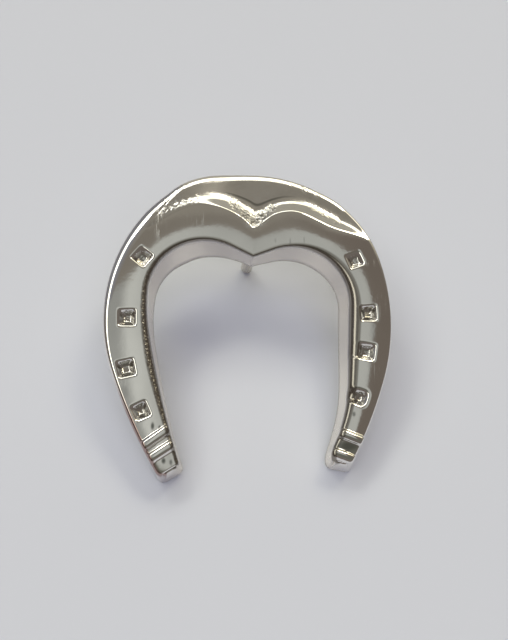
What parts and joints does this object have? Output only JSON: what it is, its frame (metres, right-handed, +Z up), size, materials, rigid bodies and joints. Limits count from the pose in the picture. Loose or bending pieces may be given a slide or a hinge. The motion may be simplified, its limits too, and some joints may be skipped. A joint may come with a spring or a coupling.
{
  "type": "lapel pin",
  "caption": "Cast silver horseshoe lapel pin with nail holes, a stepped toe crescent and a straight post soldered to its back.",
  "frame": {"origin": "on the surface that the pin lies on, under the middle of its box", "axes": "+Z up, +Y to the toe of the horseshoe, +X to its right seen from the front"},
  "size_m": [0.0245, 0.0259, 0.0114],
  "materials": {
    "silver": "polished cast silver, lightly worn"
  },
  "bodies": {
    "root": {"horseshoe_pin": "silver"}
  },
  "joints": []
}
